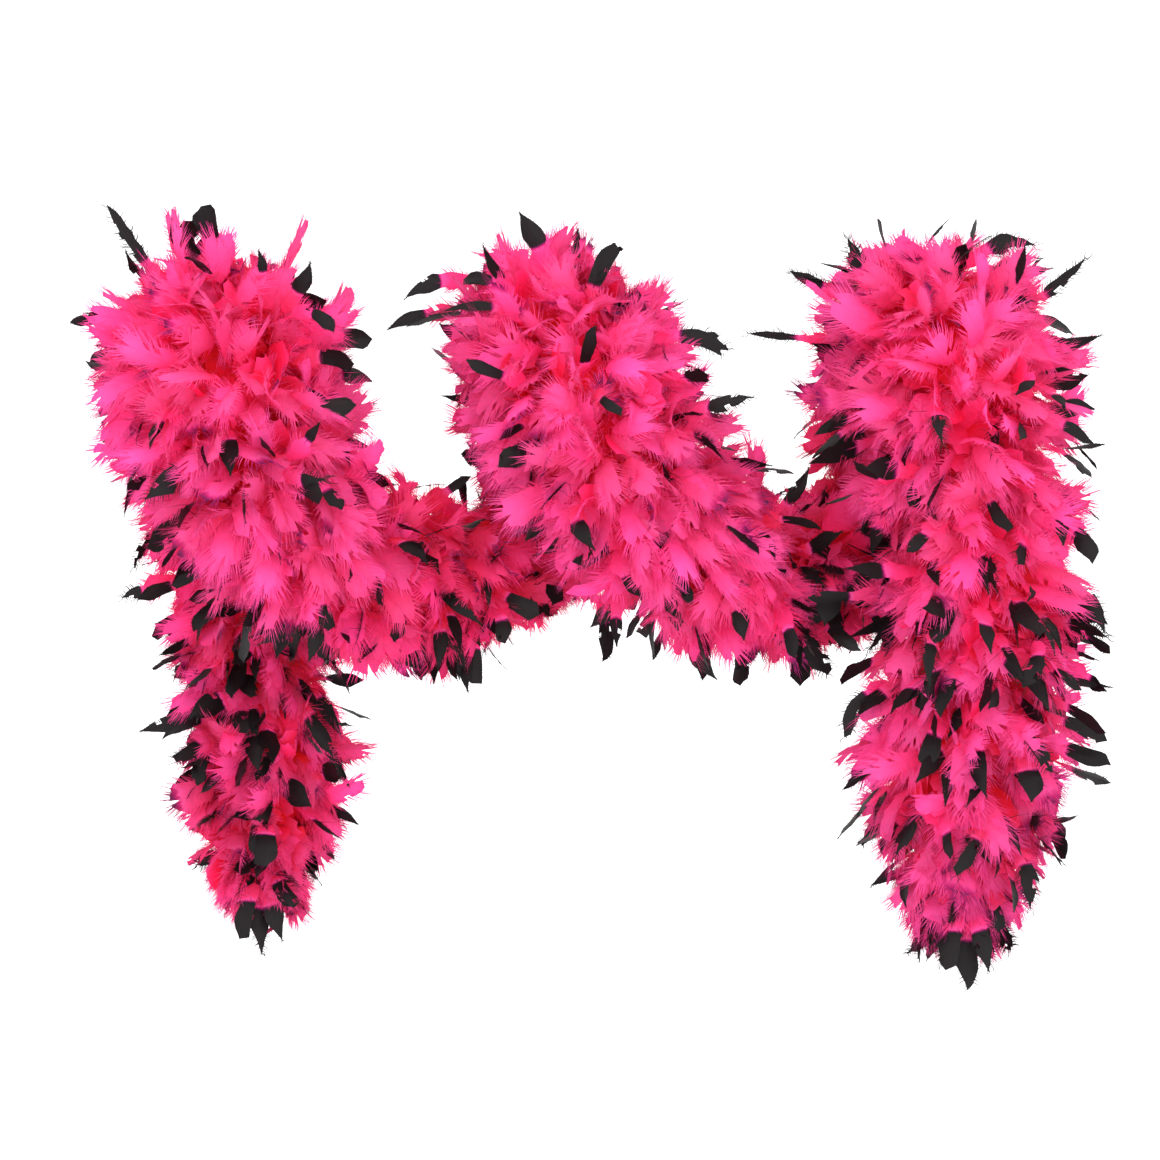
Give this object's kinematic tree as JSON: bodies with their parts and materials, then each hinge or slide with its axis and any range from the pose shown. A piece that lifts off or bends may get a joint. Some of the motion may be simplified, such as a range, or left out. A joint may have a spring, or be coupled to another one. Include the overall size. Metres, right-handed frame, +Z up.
{
  "type": "feather boa",
  "caption": "Feather boa of soft plumage with dark dipped tips on a twisted core cord, wound over a rail with swags between the wraps, free tails and a small hanging loop at each end.",
  "frame": {"origin": "on the axis of the round rail that the boa hangs over, half way along the boa", "axes": "+X along the rail from the rear tail to the front tail, -Y towards the room, +Z up"},
  "size_m": [0.5777, 0.2502, 0.4321],
  "materials": {
    "plumage": "matte",
    "core_cord": "matte",
    "binding_thread": "matte"
  },
  "bodies": {
    "wraps_on_rail": {"plumage_left_wrap_back_below": "plumage", "plumage_left_wrap_back_low": "plumage", "plumage_left_wrap_back_high": "plumage", "plumage_left_wrap_crown": "plumage", "plumage_left_wrap_front_high": "plumage", "plumage_left_wrap_front_low": "plumage", "plumage_left_wrap_front_below": "plumage", "plumage_middle_wrap_back_below": "plumage", "plumage_middle_wrap_back_low": "plumage", "plumage_middle_wrap_back_high": "plumage", "plumage_middle_wrap_crown": "plumage", "plumage_middle_wrap_front_high": "plumage", "plumage_middle_wrap_front_low": "plumage", "plumage_middle_wrap_front_below": "plumage", "plumage_right_wrap_back_below": "plumage", "plumage_right_wrap_back_low": "plumage", "plumage_right_wrap_back_high": "plumage", "plumage_right_wrap_crown": "plumage", "plumage_right_wrap_front_high": "plumage", "plumage_right_wrap_front_low": "plumage", "plumage_right_wrap_front_below": "plumage", "cord_left_wrap": "core_cord", "cord_middle_wrap": "core_cord", "cord_right_wrap": "core_cord"},
    "left_swag": {"cord_left_swag": "core_cord", "plumage_left_swag_first": "plumage", "plumage_left_swag_middle": "plumage", "plumage_left_swag_last": "plumage"},
    "right_swag": {"cord_right_swag": "core_cord", "plumage_right_swag_first": "plumage", "plumage_right_swag_middle": "plumage", "plumage_right_swag_last": "plumage"},
    "left_tail_top": {"cord_left_tail_top": "core_cord", "plumage_left_tail_top": "plumage"},
    "left_tail_middle": {"cord_left_tail_middle": "core_cord", "plumage_left_tail_middle": "plumage"},
    "left_tail_end": {"cord_left_tail_end": "core_cord", "plumage_left_tail_end": "plumage", "whipping_left_end": "binding_thread", "knot_left_end": "core_cord"},
    "left_hanging_loop": {"hanging_loop_left": "core_cord"},
    "right_tail_top": {"cord_right_tail_top": "core_cord", "plumage_right_tail_top": "plumage"},
    "right_tail_middle": {"cord_right_tail_middle": "core_cord", "plumage_right_tail_middle": "plumage"},
    "right_tail_end": {"cord_right_tail_end": "core_cord", "plumage_right_tail_end": "plumage", "whipping_right_end": "binding_thread", "knot_right_end": "core_cord"},
    "right_hanging_loop": {"hanging_loop_right": "core_cord"}
  },
  "joints": [
    {"name": "left_swag_swing", "type": "hinge", "parent": "wraps_on_rail", "child": "left_swag", "pos_m": [-0.08997, -0.00411, -0.04852], "axis": [0.8219, 0.5668, 0.0572], "range_deg": [-8, 8]},
    {"name": "right_swag_swing", "type": "hinge", "parent": "wraps_on_rail", "child": "right_swag", "pos_m": [0.1155, -0.0069, -0.04809], "axis": [0.7928, 0.6077, 0.0457], "range_deg": [-8, 8]},
    {"name": "left_tail_sway", "type": "hinge", "parent": "wraps_on_rail", "child": "left_tail_top", "pos_m": [-0.20103, 0.06431, -0.08554], "axis": [0, 1, 0], "range_deg": [-22, 22]},
    {"name": "left_tail_fore_aft", "type": "hinge", "parent": "left_tail_top", "child": "left_tail_middle", "pos_m": [-0.19686, 0.06364, -0.15155], "axis": [1, 0, 0], "range_deg": [-22, 22]},
    {"name": "left_tail_end_sway", "type": "hinge", "parent": "left_tail_middle", "child": "left_tail_end", "pos_m": [-0.19558, 0.06305, -0.20947], "axis": [0, 1, 0], "range_deg": [-22, 22]},
    {"name": "left_loop_flop", "type": "hinge", "parent": "left_tail_end", "child": "left_hanging_loop", "pos_m": [-0.1955, 0.063, -0.2837], "axis": [1, 0, 0], "range_deg": [-50, 50]},
    {"name": "right_tail_sway", "type": "hinge", "parent": "wraps_on_rail", "child": "right_tail_top", "pos_m": [0.23047, -0.0661, -0.07906], "axis": [0, 1, 0], "range_deg": [-22, 10]},
    {"name": "right_tail_fore_aft", "type": "hinge", "parent": "right_tail_top", "child": "right_tail_middle", "pos_m": [0.22822, -0.06519, -0.15613], "axis": [1, 0, 0], "range_deg": [-22, 22]},
    {"name": "right_tail_end_sway", "type": "hinge", "parent": "right_tail_middle", "child": "right_tail_end", "pos_m": [0.2239, -0.06429, -0.22552], "axis": [0, 1, 0], "range_deg": [-22, 22]},
    {"name": "right_loop_flop", "type": "hinge", "parent": "right_tail_end", "child": "right_hanging_loop", "pos_m": [0.2215, -0.0636, -0.2947], "axis": [1, 0, 0], "range_deg": [-50, 50]}
  ]
}
